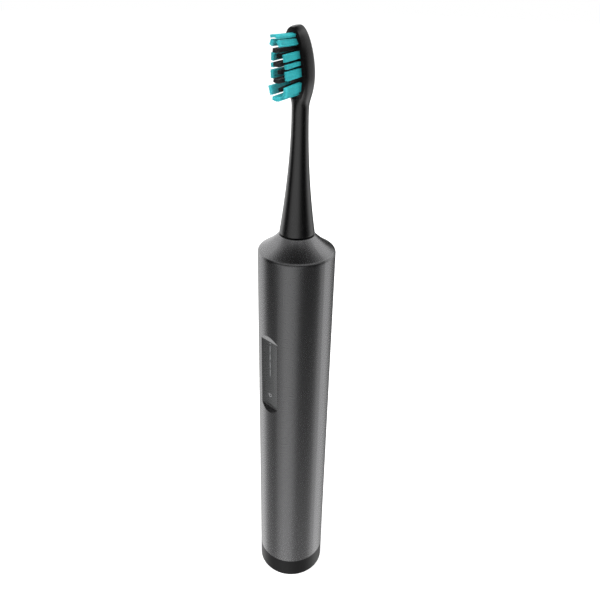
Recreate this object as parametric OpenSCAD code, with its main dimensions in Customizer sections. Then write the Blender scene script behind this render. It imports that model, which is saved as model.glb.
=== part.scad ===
// Electric sonic toothbrush: metal handle, control strip, sonic motor and a brush head that pulls off.
// The foot stands on z = 0, the axis is Z, and the bristles and the control strip face -Y.

/* [Handle] */
// Outer diameter of the handle
body_d = 28.3; // [27.5:0.1:32]
// Wall of the metal shell
shell_wall = 1.2; // [0.8:0.1:1.6]
// Height of the edge where the cylinder meets the shoulder
crease_h = 159.1; // [158:0.1:180]
// Rise of the shoulder above that edge
shoulder_rise = 6.3; // [5:0.05:8]
// Outer radius of the shell's top rim
rim_r = 6.5; // [6:0.1:7.5]
// Rounding of the shoulder edge
crease_round = 1.7; // [0.3:0.1:2]
// Hollow radius of the shoulder's sweep
shoulder_sweep = 28; // [14:1:60]
// Height of the black base band
base_h = 8.9; // [8:0.1:14]
// Rounding of the foot's edge
foot_round = 0.3; // [0.2:0.1:1.2]

/* [Control strip] */
// Half width of the flat milled on the front of the shell
strip_half_w = 4.5; // [3.8:0.1:5]
// Drop from the shoulder edge to the flat's upper end
strip_drop = 33.7; // [32:0.1:38]
// Length of the flat
strip_l = 30.3; // [28:0.1:34]
// Run of the ramp at each end of the flat
strip_ramp = 2.5; // [1.5:0.1:4]
// Margin of metal between the flat's edge and the window
strip_margin = 0.35; // [0.3:0.05:0.8]
// Depth of the hollow along the middle of the strip
strip_dish = 0.25; // [0.1:0.05:0.4]
// Width of the power key
key_w = 6; // [5:0.1:6.2]
// Height of the power key
key_h = 9.2; // [7:0.1:10]
// Travel of the power key
key_travel = 0.3; // [0.15:0.05:0.35]
// Width of an indicator slit
slit_w = 0.3; // [0.2:0.05:0.8]
// Length of an indicator slit
slit_l = 3.05; // [2:0.05:3.5]
// Number of indicator slits below the round one
slit_count = 4; // [2:1:4]

/* [Drive] */
// Diameter of the drive shaft
shaft_d = 3.6; // [3:0.1:4]
// Length of shaft that stands out of the handle
shaft_out_l = 20.6; // [16:0.1:24]
// Outer diameter of the motor can
motor_d = 17; // [16:0.1:17.4]
// Length of the motor
motor_l = 35.2; // [32:0.1:37]
// Diameter of the rotor
rotor_d = 9.8; // [8.5:0.1:10]
// Length of the rotor
rotor_l = 16; // [12:0.5:18]
// Running clearance of the shaft in its bushes
shaft_fit = 0.03; // [0.02:0.01:0.08]
// Diameter of the battery cell
cell_d = 14.2; // [13.8:0.1:14.6]
// Length of the battery cell
cell_l = 50; // [44:0.5:50]

/* [Charging socket] */
// Diameter of the socket in the foot
socket_d = 9.2; // [8:0.1:10]
// Depth of the socket
socket_depth = 8; // [6:0.1:9]

/* [Brush head] */
// Gap between the neck and the shell's top rim
neck_gap = 0.65; // [0.3:0.05:0.8]
// Radius of the neck's lower end
neck_low_r = 6.35; // [6:0.05:6.8]
// Radius of the slim end of the neck
neck_top_r = 2.85; // [2.7:0.05:3.3]
// Length of the tapering neck
neck_l = 41.15; // [36:0.05:48]
// Backward lean of the neck's slim end
neck_lean = 0.4; // [0.2:0.02:0.8]
// Half width of the head plate
plate_half_w = 5; // [4.7:0.05:5.3]
// Length of the head from the slim end of the neck to the tip
head_l = 26.85; // [25:0.05:29]
// Forward tilt of the bristle face in degrees
head_tilt = 5.4; // [3:0.2:8]
// Depth of the tuft sockets
socket_sink = 1.2; // [0.8:0.1:1.5]
// Length of the teal bristles in the middle rows
bristle_l = 6.5; // [5.5:0.1:8]
// Thickness of one strand
strand_t = 0.25; // [0.18:0.01:0.26]

/* [Hidden] */

// Fits and overruns
cut = 1;
fit = 0.08;
slip = 0.3;
hair = 0.05;
round_fn = 96;
small_fn = 48;

// Handle
body_r = body_d / 2;
facet_y = sqrt(body_r * body_r - strip_half_w * strip_half_w);
bore_r = body_r - shell_wall;
rim_h = crease_h + shoulder_rise;
rim_wall = 0.9;
nose_r = rim_r - rim_wall;
nose_land = 2.5;
inner_drop = 1.8;
seam = 0.06;
shoulder_steps = 12;
crease_turn = 50;
crease_mid = crease_h - crease_round * 0.4;

// Base cap
spigot_wall = 1.6;
spigot_l = 6.6;
spigot_r = bore_r - fit;
spigot_h = base_h + spigot_l;
floor_t = 1.8;
socket_r = socket_d / 2;
socket_wall = 1.4;
o_ring_t = 0.9;
base_ring_h = base_h + spigot_l / 2;

// Charging coil
bobbin_r = socket_r + socket_wall + fit;
bobbin_wall = 0.8;
bobbin_gap = 0.5;
bobbin_drop = 0.8;
bobbin_out = spigot_r - spigot_wall - bobbin_gap;
bobbin_l = socket_depth + socket_wall - floor_t - bobbin_drop;
coil_out = bobbin_out - slip;
lead_d = 0.9;
lead_x = 5.2;

// Frame
strip_top = crease_h - strip_drop;
strip_low = strip_top - strip_l;
frame_r = bore_r - slip;
frame_wall = 1.1;
frame_low = spigot_h + seam;
bulk_t = 2.4;
rib_t = 2;
cell_bulk_h = frame_low + bulk_t;
pad_t = 1;
tab_t = 0.2;
tab_w = 3;
cell_low = cell_bulk_h + pad_t + tab_t;
cell_top = cell_low + cell_l;
cell_stop = cell_top + tab_t + pad_t;
fascia_t = 2.155;
board_gap = 1;
fascia_back = facet_y - fascia_t;
board_front = fascia_back - board_gap;
board_t = 1;
board_back = board_front - board_t;
board_half_w = 6.5;
board_drop = 11.3;
board_low = strip_low - board_drop;
rest_front = board_back - hair;
cell_front = board_back - 1.2 * board_t;
screw_rise = 8;
screw_z = board_low + screw_rise;
screw_x = 4.6;
screw_pitch_r = 0.7;
screw_head_r = 1.3;
screw_head_h = 0.8;
screw_l = 2.6;
bridge_t = 4;
bridge_bore = 6;
nose_step_h = rim_h - nose_land - inner_drop;
nose_skirt_l = 9.4;
nose_low = nose_step_h - nose_skirt_l;
frame_rise = 4.4;
frame_top = nose_low + frame_rise;
motor_front_bulk = nose_low - bulk_t;
motor_top = motor_front_bulk - pad_t;
motor_low = motor_top - motor_l;
motor_rear_bulk = motor_low - pad_t;
board_top = motor_front_bulk + bulk_t / 2;
boss_gap_r = 4.2;

// Control strip
facet_depth = body_r - facet_y;
ramp_reach = strip_ramp * (1 + cut / facet_depth);
window_half_w = strip_half_w - strip_margin;
window_low = strip_low + strip_margin;
window_top = strip_top - strip_margin / 2;
window_round = 1.2;
dish_r = (window_half_w * window_half_w + strip_dish * strip_dish) / (2 * strip_dish);
flange_extra = 1.1;
key_mid = window_low + strip_margin + key_h / 2 + flange_extra / 2;
key_gap = 0.08;
key_round = 1.4;
key_lip = 0.55;
key_face_t = 1.2;
key_flange_t = 0.4;
post_r = 1.2;
switch_h = 0.65;
switch_half = 1.6;
plunger_r = 0.75;
plunger_out = key_travel + hair;
post_end = board_front + switch_h + plunger_out + hair;
dot_d = 0.6;
dot_drop = 0.9;
dot_h = strip_top - dot_drop;
slit_first = dot_h - 1.8 * dot_d - slit_l / 2;
slit_pitch = slit_l + dot_d;
led_h = 0.6;
led_w = 1.6;
led_t = 0.8;
guide_half_w = 2.6;
guide_bore = 1.15;
guide_end = 1.4;
led_heights = concat([dot_h], [for (i = [0:slit_count - 1]) slit_first - i * slit_pitch]);
guide_low = led_heights[slit_count] - guide_end;
guide_top = dot_h + guide_end / 2;
seal_w = 1;
chip_w = 5;
chip_t = 0.9;
chip_rise = 18;
chip_z = board_low + chip_rise;
part_w = 1.6;
part_h = 0.8;
part_t = 0.8;

// Drive
shaft_r = shaft_d / 2;
motor_r = motor_d / 2;
can_wall = 0.6;
plate_t = 1.2;
bush_r = 3.2;
bush_l = 2.4;
shaft_low = motor_low + bush_l / 4;
shaft_top = rim_h + shaft_out_l;
rotor_r = rotor_d / 2;
magnet_t = 1.3;
yoke_r = rotor_r - magnet_t - hair;
magnet_gap = 10;
rotor_low = motor_low + (motor_l - rotor_l) / 2;
air_gap = 0.3;
core_out = motor_r - can_wall - hair;
core_wall = 0.9;
pole_half_w = 3;
coil_in = rotor_r + air_gap;
coil_gap = 0.8;
flat_depth = 0.5;
flat_l = 14;
seal_out = 3.8;
seal_l = 4.4;
seal_lip = 0.06;
nose_skirt_r = 7.2;
nose_skirt_wall = 1.2;
nose_top = rim_h - seam;
ledge_t = 2.4;
nose_ring_h = rim_h - nose_land / 2;

// Brush head
neck_low = rim_h + neck_gap;
neck_power = 1.8;
neck_top = neck_low + neck_l;
tip_h = neck_top + head_l;
plate_mid_share = 0.46;
plate_mid = neck_top + head_l * plate_mid_share;
plate_low_l = 10.7;
plate_up_l = tip_h - plate_mid;
plate_power = 2.3;
foot_power = 1.8;
back_power = 1.6;
section_power = 3;
back_out = 3.1;
face_up = 1.2;
face_in = 2.6;
face_z = plate_mid + face_up;
head_core = 0.5;
tip_in = 0.35;
rim_share = 0.6;
sides = 32;
neck_rings = 12;
head_rings = 22;
sleeve_wall = 1.05;
sleeve_r = shaft_r + sleeve_wall;
sleeve_sink = 0.5;
sleeve_low = neck_low + sleeve_sink;
sleeve_roof = 1;
tip_gap = 0.4;
sleeve_top = shaft_top + tip_gap + sleeve_roof;
sleeve_fit = 0.04;
face_bow_r = 5.3;
face_bow_v = 3.4;
face_cut_h = 20;

// Strands
tuft_w = 1.25;
tuft_fit = 0.06;
across = 4;

// The field of the tufts: half its width and its length
field_half = 2.45;
field_l = 16.4;
// Teal tufts on one side
side_tuft_shares = [
  // [x share, v share, height share, rows, length share, lean out, lean up, turn]
  [0.64, 0.528, 0.108, 6, 1.15, 0, 6, -28],
  [0.93, 0.312, 0.131, 6, 1.00, 3, 0, -9],
  [1.01, 0.160, 0.073, 4, 0.99, 5, 0, -4],
  [1.07, -0.002, 0.152, 7, 1.02, 5, 0, -3],
  [0.92, -0.269, 0.170, 7, 1.19, 7, -2, 12]];
// Teal tufts at the two ends
end_tuft_shares = [
  // [v share, width share, height share, strands across, rows, length share, lean up, bend]
  [0.652, 0.195, 0.052, 10, 3, 1.20, 6, 1],
  [-0.409, 0.210, 0.068, 10, 3, 1.31, -1.5, -1]];
// Black tufts in the middle, in the same order of values
black_tuft_shares = [
  [0.430, 0.155, 0.070, 8, 3, 1.14, 1, -1],
  [0.325, 0.085, 0.066, 4, 3, 1.00, 2, 0],
  [0.190, 0.185, 0.070, 8, 3, 1.12, 0, -1],
  [0.050, 0.085, 0.066, 4, 3, 1.00, 0, 0],
  [-0.100, 0.185, 0.070, 8, 3, 1.19, 0, -1],
  [-0.250, 0.085, 0.066, 4, 3, 1.02, -2, 0]];
bend_r = 4.6;

// Helpers
module pipe(r_out, r_in, low, top) {
  difference() {
    translate([0, 0, low]) cylinder(r = r_out, h = top - low, $fn = round_fn);
    translate([0, 0, low - cut]) cylinder(r = r_in, h = top - low + 2 * cut, $fn = round_fn);
  }
}

module ring(mid_r, thick, height) {
  translate([0, 0, height])
    rotate_extrude($fn = round_fn) translate([mid_r, 0]) circle(d = thick, $fn = small_fn);
}

// A rounded block that faces -Y, from depth y_out in to depth y_in
module front_block(half_w, low, top, round_r, y_out, y_in) {
  translate([0, -y_in, 0]) rotate([90, 0, 0])
    linear_extrude(y_out - y_in) union() {
      translate([-half_w + round_r, low]) square([2 * (half_w - round_r), top - low]);
      translate([-half_w, low + round_r]) square([2 * half_w, top - low - 2 * round_r]);
      for (x = [-half_w + round_r, half_w - round_r], z = [low + round_r, top - round_r])
        translate([x, z]) circle(r = round_r, $fn = small_fn);
    }
}

module front_pin(r, x, z, y_out, y_in) {
  translate([x, -y_in, z]) rotate([90, 0, 0]) cylinder(r = r, h = y_out - y_in, $fn = small_fn);
}

// A disc across the handle whose front is cut flat at depth y_front
module bulkhead(low, top, y_front) {
  intersection() {
    translate([0, 0, low]) cylinder(r = frame_r, h = top - low, $fn = round_fn);
    translate([-body_r, -y_front, low - cut]) cube([2 * body_r, y_front + body_r, top - low + 2 * cut]);
  }
}

function arc_points(cx, cy, r, from, to, steps) =
  [for (i = [0:steps]) let (a = from + (to - from) * i / steps) [cx + r * cos(a), cy + r * sin(a)]];

// The hollow sweep of the shoulder, from the rounded edge up to the rim
edge_x = body_r - crease_round * (1 - cos(crease_turn));
edge_y = crease_mid + crease_round * sin(crease_turn);
chord_x = rim_r - edge_x;
chord_y = rim_h - edge_y;
chord_l = sqrt(chord_x * chord_x + chord_y * chord_y);
chord_a = atan2(chord_y, chord_x);
half_turn = asin(chord_l / (2 * shoulder_sweep));
sweep_x = (edge_x + rim_r) / 2 + shoulder_sweep * cos(half_turn) * cos(chord_a - 90);
sweep_y = (edge_y + rim_h) / 2 + shoulder_sweep * cos(half_turn) * sin(chord_a - 90);
shoulder = [for (i = [0:shoulder_steps])
  let (a = chord_a - 90 + 180 + half_turn * (1 - 2 * i / shoulder_steps))
  [sweep_x + shoulder_sweep * cos(a), sweep_y + shoulder_sweep * sin(a)]];

module handle_shell() {
  color([0.36, 0.36, 0.37])
    difference() {
      rotate_extrude($fn = round_fn) polygon(concat(
        [[bore_r, base_h + seam], [body_r, base_h + seam]],
        arc_points(body_r - crease_round, crease_mid, crease_round, 0, crease_turn * 0.8, 4),
        shoulder,
        [[nose_r, rim_h], [nose_r, rim_h - nose_land], [bore_r, crease_h - inner_drop]]));
      strip_cutter();
      front_block(window_half_w, window_low, window_top, window_round, body_r + cut, body_r / 2);
    }
}

// The flat with a ramp at each end
module strip_cutter() {
  translate([-body_r, 0, 0]) rotate([90, 0, 90])
    linear_extrude(2 * body_r)
      polygon([[-facet_y, strip_low], [-body_r - cut, strip_low - ramp_reach],
        [-body_r - cut, strip_top + ramp_reach], [-facet_y, strip_top]]);
}

module base_cap() {
  color([0.12, 0.12, 0.13])
    difference() {
      rotate_extrude($fn = round_fn) polygon(concat(
        [[socket_r, 0]],
        arc_points(body_r - foot_round, foot_round, foot_round, -90, 0, 5),
        [[body_r, base_h], [spigot_r, base_h], [spigot_r, spigot_h],
         [spigot_r - spigot_wall, spigot_h], [spigot_r - spigot_wall, floor_t],
         [socket_r + socket_wall, floor_t], [socket_r + socket_wall, socket_depth + socket_wall],
         [0, socket_depth + socket_wall], [0, socket_depth], [socket_r, socket_depth]]));
      ring(bore_r - o_ring_t / 2, o_ring_t + fit, base_ring_h);
    }
}

module base_o_ring() {
  color([0.2, 0.2, 0.2]) ring(bore_r - o_ring_t / 2 - hair / 2, o_ring_t - hair, base_ring_h);
}

module coil_bobbin() {
  color([0.85, 0.85, 0.8]) union() {
    pipe(bobbin_r + bobbin_wall, bobbin_r, floor_t, floor_t + bobbin_l);
    pipe(bobbin_out, bobbin_r, floor_t, floor_t + bobbin_wall);
    pipe(bobbin_out, bobbin_r, floor_t + bobbin_l - bobbin_wall, floor_t + bobbin_l);
  }
}

module charging_coil() {
  color([0.72, 0.4, 0.2])
    pipe(coil_out, bobbin_r + bobbin_wall + hair, floor_t + bobbin_wall + hair,
      floor_t + bobbin_l - bobbin_wall - hair);
}

module coil_leads() {
  color([0.7, 0.1, 0.1])
    for (side = [-1, 1])
      translate([side * lead_x, -board_back + hair + lead_d / 2, floor_t + bobbin_l + hair])
        cylinder(d = lead_d, h = board_low + bridge_t - floor_t - bobbin_l, $fn = small_fn / 2);
}

module inner_frame() {
  color([0.75, 0.75, 0.72])
    difference() {
      union() {
        intersection() {
          pipe(frame_r, frame_r - frame_wall, frame_low, frame_top);
          translate([-body_r, shaft_r, frame_low - cut]) cube([2 * body_r, body_r, frame_top]);
        }
        bulkhead(frame_low, cell_bulk_h, cell_front);
        bulkhead(cell_stop, cell_stop + bulk_t, cell_front);
        bulkhead(screw_z - bridge_t / 2, screw_z + bridge_t / 2, rest_front);
        bulkhead(motor_rear_bulk - bulk_t, motor_rear_bulk, cell_front);
        bulkhead(motor_front_bulk, motor_front_bulk + bulk_t, rest_front);
        bulkhead(cell_low + cell_l / 3, cell_low + cell_l / 3 + rib_t, 0);
        bulkhead(cell_low + 2 * cell_l / 3, cell_low + 2 * cell_l / 3 + rib_t, 0);
        bulkhead(motor_low + motor_l / 2, motor_low + motor_l / 2 + rib_t, 0);
      }
      translate([0, 0, cell_bulk_h]) cylinder(r = cell_d / 2 + slip, h = cell_stop - cell_bulk_h, $fn = round_fn);
      translate([0, 0, motor_rear_bulk])
        cylinder(r = motor_r + slip, h = motor_front_bulk - motor_rear_bulk, $fn = round_fn);
      translate([0, 0, screw_z - bridge_t]) cylinder(r = bridge_bore, h = 2 * bridge_t, $fn = round_fn);
      translate([0, 0, motor_rear_bulk - 2 * bulk_t]) cylinder(r = boss_gap_r, h = 4 * bulk_t, $fn = small_fn);
      translate([0, 0, motor_front_bulk - cut]) cylinder(r = boss_gap_r, h = 2 * bulk_t, $fn = small_fn);
      for (side = [-1, 1])
        front_pin(screw_pitch_r + hair, side * screw_x, screw_z, board_back + cut, board_back - screw_l - slip);
    }
}

module battery_cell() {
  color([0.15, 0.35, 0.6])
    translate([0, 0, cell_low]) cylinder(d = cell_d, h = cell_l, $fn = round_fn);
}

module battery_tabs() {
  color([0.8, 0.8, 0.82])
    for (end = [[-tab_w, cell_top], [tab_w, cell_low - tab_t]]) translate([end[0] - tab_w / 2, 0, 0]) {
      translate([0, -rest_front, end[1]]) cube([tab_w, rest_front + tab_w, tab_t]);
      translate([0, -rest_front, end[1]]) cube([tab_w, tab_t, max(board_low - end[1], 0) + tab_w]);
    }
}

module battery_pads() {
  color([0.3, 0.3, 0.32]) union() {
    translate([0, 0, cell_bulk_h]) cylinder(r = cell_d / 2 - hair, h = pad_t, $fn = round_fn);
    translate([0, 0, cell_top + tab_t]) cylinder(r = cell_d / 2 - hair, h = pad_t, $fn = round_fn);
  }
}

module circuit_board() {
  color([0.05, 0.35, 0.2])
    difference() {
      translate([-board_half_w, -board_front, board_low])
        cube([2 * board_half_w, board_t, board_top - board_low]);
      for (side = [-1, 1])
        front_pin(screw_pitch_r + fit, side * screw_x, screw_z, board_front + cut, board_back - cut);
    }
}

module board_screws() {
  color([0.7, 0.7, 0.72])
    for (side = [-1, 1]) difference() {
      union() {
        front_pin(screw_pitch_r, side * screw_x, screw_z, board_front + hair, board_back - screw_l);
        front_pin(screw_head_r, side * screw_x, screw_z, board_front + screw_head_h, board_front);
      }
      front_pin(screw_pitch_r / 2, side * screw_x, screw_z, board_front + cut, board_front + screw_head_h / 2);
    }
}

module board_chip(x, z, w, h, t) {
  translate([x - w / 2, -board_back, z - h / 2]) cube([w, t, h]);
}

module control_chip() {
  color([0.1, 0.1, 0.1]) board_chip(0, chip_z, chip_w, chip_w, chip_t);
}

module board_parts() {
  color([0.6, 0.5, 0.35])
    for (x = [-1, 1], i = [0:3])
      board_chip(x * chip_w, chip_z + (i - 1.5) * 2 * part_w, part_w, part_h, part_t);
}

module indicator_leds() {
  color([0.95, 0.95, 0.85])
    for (z = led_heights)
      translate([-led_t / 2, -board_front - led_h, z - led_w / 2]) cube([led_t, led_h, led_w]);
}

module light_guide() {
  color([0.9, 0.9, 0.9])
    difference() {
      front_block(guide_half_w, guide_low, guide_top, guide_end / 4, fascia_back - hair, board_front + hair);
      for (z = led_heights) front_pin(guide_bore, 0, z, fascia_back + cut, board_front - cut);
    }
}

module slit(z, grow, y_out, y_in) {
  front_block(slit_w / 2 + grow, z - slit_l / 2 - grow, z + slit_l / 2 + grow, slit_w / 2 + grow - hair / 10,
    y_out, y_in);
}

// The shallow hollow that runs down the strip's face
module dish_cutter() {
  translate([0, -facet_y + strip_dish - dish_r, strip_low]) cylinder(r = dish_r, h = strip_l, $fn = 2 * round_fn);
}

module indicator_windows() {
  color([0.85, 0.86, 0.88]) difference() {
    union() {
      front_pin(dot_d / 2, 0, dot_h, facet_y, fascia_back + hair);
      for (i = [1:slit_count]) slit(led_heights[i], 0, facet_y, fascia_back + hair);
    }
    dish_cutter();
  }
}

module control_fascia() {
  color([0.24, 0.24, 0.25])
    difference() {
      union() {
        front_block(window_half_w - fit, window_low + fit, window_top - fit, window_round - fit,
          facet_y, fascia_back);
        intersection() {
          front_block(window_half_w + flange_extra / 2, window_low - flange_extra, window_top + flange_extra,
            window_round, body_r, fascia_back);
          cylinder(r = bore_r - hair, h = rim_h, $fn = round_fn);
        }
      }
      front_block(key_w / 2 + key_gap, key_mid - key_h / 2 - key_gap, key_mid + key_h / 2 + key_gap,
        key_round + key_gap, body_r, fascia_back - cut);
      front_block(key_w / 2 + key_lip + fit, key_mid - key_h / 2 - key_lip - fit,
        key_mid + key_h / 2 + key_lip + fit, key_round, facet_y - key_face_t, fascia_back - cut);
      front_pin(dot_d / 2 + hair, 0, dot_h, body_r, fascia_back - cut);
      for (i = [1:slit_count]) slit(led_heights[i], hair, body_r, fascia_back - cut);
      dish_cutter();
    }
}

module key_seal() {
  half = window_half_w + flange_extra / 2;
  color([0.2, 0.2, 0.2])
    difference() {
      front_block(half, key_mid - key_h / 2 - seal_w, key_mid + key_h / 2 + seal_w, key_round,
        fascia_back - hair, board_front + hair);
      front_block(half - seal_w, key_mid - key_h / 2, key_mid + key_h / 2, key_round / 2,
        fascia_back + cut, board_front - cut);
    }
}

module power_key() {
  back = facet_y - key_face_t - hair;
  color([0.22, 0.22, 0.23]) difference() {
    union() {
      front_block(key_w / 2, key_mid - key_h / 2, key_mid + key_h / 2, key_round, facet_y, back);
      front_block(key_w / 2 + key_lip, key_mid - key_h / 2 - key_lip, key_mid + key_h / 2 + key_lip, key_round,
        back, back - key_flange_t);
      front_pin(post_r, 0, key_mid, back, post_end);
    }
    dish_cutter();
  }
}

module tact_switch() {
  color([0.75, 0.75, 0.7])
    difference() {
      front_block(switch_half, key_mid - switch_half, key_mid + switch_half, switch_h / 2,
        board_front + switch_h, board_front);
      front_pin(plunger_r + hair, 0, key_mid, board_front + 2 * switch_h, board_front - cut);
    }
}

module tact_plunger() {
  color([0.1, 0.1, 0.1])
    front_pin(plunger_r, 0, key_mid, board_front + switch_h + plunger_out, board_front + plunger_out);
}

module motor_can() {
  color([0.7, 0.7, 0.72]) pipe(motor_r, motor_r - can_wall, motor_low + plate_t, motor_top - plate_t);
}

module motor_plate(low, top) {
  pipe(motor_r, bush_r + hair, low, top);
}

module motor_rear_cap() {
  color([0.5, 0.5, 0.52]) union() {
    motor_plate(motor_low, motor_low + plate_t);
    pipe(bush_r + plate_t, bush_r + hair, motor_low, motor_low + bush_l);
  }
}

module motor_front_plate() {
  color([0.5, 0.5, 0.52]) union() {
    motor_plate(motor_top - plate_t, motor_top);
    pipe(bush_r + plate_t, bush_r + hair, motor_top - bush_l, motor_top);
  }
}

module stator_core() {
  color([0.4, 0.4, 0.45])
    difference() {
      union() {
        pipe(core_out, core_out - core_wall, rotor_low, rotor_low + rotor_l);
        intersection() {
          translate([0, 0, rotor_low]) cylinder(r = core_out, h = rotor_l, $fn = round_fn);
          union() {
            translate([-body_r, -pole_half_w, rotor_low]) cube([2 * body_r, 2 * pole_half_w, rotor_l]);
            translate([-pole_half_w, -body_r, rotor_low]) cube([2 * pole_half_w, 2 * body_r, rotor_l]);
          }
        }
      }
      translate([0, 0, rotor_low - cut]) cylinder(r = coil_in, h = rotor_l + 2 * cut, $fn = round_fn);
    }
}

module stator_coils() {
  top = rotor_low + rotor_l;
  color([0.72, 0.4, 0.2]) union() {
    pipe(core_out, coil_in, motor_low + bush_l + coil_gap, rotor_low - hair);
    pipe(core_out, coil_in, top + hair, motor_top - bush_l - coil_gap);
  }
}

module shaft_bushes() {
  color([0.7, 0.5, 0.3]) union() {
    pipe(bush_r, shaft_r + shaft_fit, motor_low, motor_low + bush_l);
    pipe(bush_r, shaft_r + shaft_fit, motor_top - bush_l, motor_top);
  }
}

module motor_pads() {
  color([0.2, 0.2, 0.2]) union() {
    pipe(motor_r - can_wall, boss_gap_r, motor_rear_bulk, motor_low);
    pipe(motor_r - can_wall, boss_gap_r, motor_top, motor_front_bulk);
  }
}

module rotor_yoke() {
  color([0.55, 0.55, 0.57]) pipe(yoke_r, shaft_r + hair / 5, rotor_low, rotor_low + rotor_l);
}

module rotor_magnets() {
  color([0.8, 0.8, 0.84])
    for (turn = [0:90:270])
      translate([0, 0, rotor_low + hair])
        rotate([0, 0, turn + magnet_gap / 2]) rotate_extrude(angle = 90 - magnet_gap, $fn = round_fn)
          translate([rotor_r - magnet_t, 0]) square([magnet_t, rotor_l - 2 * hair]);
}

module drive_shaft() {
  color([0.82, 0.82, 0.84])
    difference() {
      union() {
        translate([0, 0, shaft_low]) cylinder(r = shaft_r, h = shaft_top - shaft_low - flat_depth, $fn = small_fn);
        translate([0, 0, shaft_top - flat_depth])
          cylinder(r1 = shaft_r, r2 = shaft_r - flat_depth, h = flat_depth, $fn = small_fn);
      }
      translate([-shaft_d, shaft_r - flat_depth, shaft_top - flat_l]) cube([2 * shaft_d, shaft_d, flat_l + cut]);
    }
}

module shaft_seal() {
  color([0.15, 0.15, 0.15]) pipe(seal_out, shaft_r + seal_lip, nose_top - seal_l, nose_top - hair);
}

module nose_cap() {
  skirt_in = nose_skirt_r - nose_skirt_wall;
  seal_ledge = nose_top - seal_l - hair;
  color([0.1, 0.1, 0.1])
    difference() {
      rotate_extrude($fn = round_fn) polygon([
        [skirt_in, nose_low], [nose_skirt_r, nose_low],
        [nose_skirt_r, nose_step_h], [nose_r - hair, nose_step_h], [nose_r - hair, nose_top],
        [seal_out + hair, nose_top], [seal_out + hair, seal_ledge], [shaft_r + slip, seal_ledge],
        [shaft_r + slip, seal_ledge - ledge_t], [skirt_in, seal_ledge - ledge_t]]);
      ring(nose_r - o_ring_t / 2, o_ring_t + hair, nose_ring_h);
    }
}

module nose_o_ring() {
  color([0.2, 0.2, 0.2]) ring(nose_r - o_ring_t / 2 - hair / 2, o_ring_t - hair, nose_ring_h);
}

// Brush head: one smooth body from the round neck to the flat-faced head
function ease(t) = t <= 0 ? 0 : t >= 1 ? 1 : t * t * (3 - 2 * t);
function taper(z) = z >= neck_top ? 0 : 1 - (z - neck_low) / neck_l;
function neck_r(z) = neck_top_r + (neck_low_r - neck_top_r) * pow(taper(z), neck_power);
function head_part(z) = ease((z - neck_top) / plate_low_l);
function plate_r(z) = let (
    up = min(1, max(0, (z - plate_mid) / plate_up_l)),
    down = min(1, max(0, (plate_mid - z) / plate_low_l)))
  plate_half_w * pow(1 - pow(up, plate_power), 1 / plate_power) * pow(1 - pow(down, foot_power), 1 / foot_power);
function up_share(z) = min(1, max(0, (z - plate_mid) / plate_up_l));
function half_w(z) = z > plate_mid ? plate_r(z) : pow(pow(neck_r(z), 8) + pow(plate_r(z), 8), 1 / 8);
function back_y(z) = back_out - (back_out + tip_in) * pow(up_share(z), back_power);
function face_y(z) = -face_in - (z - face_z) * tan(head_tilt);
function mid_y(z) = z <= neck_top
  ? neck_lean * ease((z - neck_low) / neck_l)
  : neck_lean + (head_core - neck_lean) * head_part(z) - (head_core + tip_in) * pow(up_share(z), back_power);
function back_half(z) = let (h = head_part(z))
  neck_r(z) * (1 - h) + max(0, back_y(z) - mid_y(z)) * h;
function front_half(z) = let (h = head_part(z), depth = (mid_y(z) - face_y(z)) / (1 - (1 - rim_share) * h))
  neck_r(z) * (1 - h) + depth * h * pow(1 - pow(up_share(z), 6), 1 / 3);
function power_at(z) = 2 + (section_power - 2) * head_part(z);
function rounded(c, n) = sign(c) * pow(abs(c), 2 / n);
function ring_points(z) = let (n = power_at(z), w = half_w(z), f = front_half(z), b = back_half(z), y = mid_y(z))
  [for (i = [0:sides - 1]) let (a = 360 * i / sides, s = rounded(sin(a), n))
    [w * rounded(cos(a), n), y + (s > 0 ? b : f) * s, z]];
ring_heights = concat(
  [for (i = [0:neck_rings - 1]) neck_low + neck_l * i / neck_rings],
  [for (i = [0:head_rings - 1]) neck_top + head_l * sin(90 * i / head_rings)]);
ring_count = neck_rings + head_rings;
body_points = concat(
  [for (z = ring_heights) each ring_points(z)],
  [[0, mid_y(neck_low), neck_low], [0, -tip_in, tip_h]]);
body_faces = concat(
  [for (k = [0:ring_count - 2], i = [0:sides - 1]) let (a = k * sides + i, b = k * sides + (i + 1) % sides)
    each [[a, b + sides, b], [a, a + sides, b + sides]]],
  [for (i = [0:sides - 1]) [i, (i + 1) % sides, ring_count * sides]],
  [for (i = [0:sides - 1]) let (t = (ring_count - 1) * sides) [t + (i + 1) % sides, t + i, ring_count * sides + 1]]);

// The frame of the bristle face: X across, Y up along the head, Z out along the bristles
module on_face() {
  translate([0, -face_in, face_z]) rotate([90 + head_tilt, 0, 0]) children();
}

module face_cutter() {
  linear_extrude(face_cut_h) union() {
    translate([0, -face_bow_v]) circle(r = face_bow_r, $fn = small_fn);
    translate([-face_cut_h, -face_bow_v]) square([2 * face_cut_h, 2 * face_cut_h]);
  }
}

module brush_body() {
  color([0.1, 0.1, 0.11])
    difference() {
      polyhedron(body_points, body_faces);
      translate([0, 0, neck_low - cut]) cylinder(r = sleeve_r + hair, h = sleeve_top - neck_low + cut, $fn = small_fn);
      on_face() face_cutter();
      on_face() all_tufts() tuft_socket($w, $h, $bend);
    }
}

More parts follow.
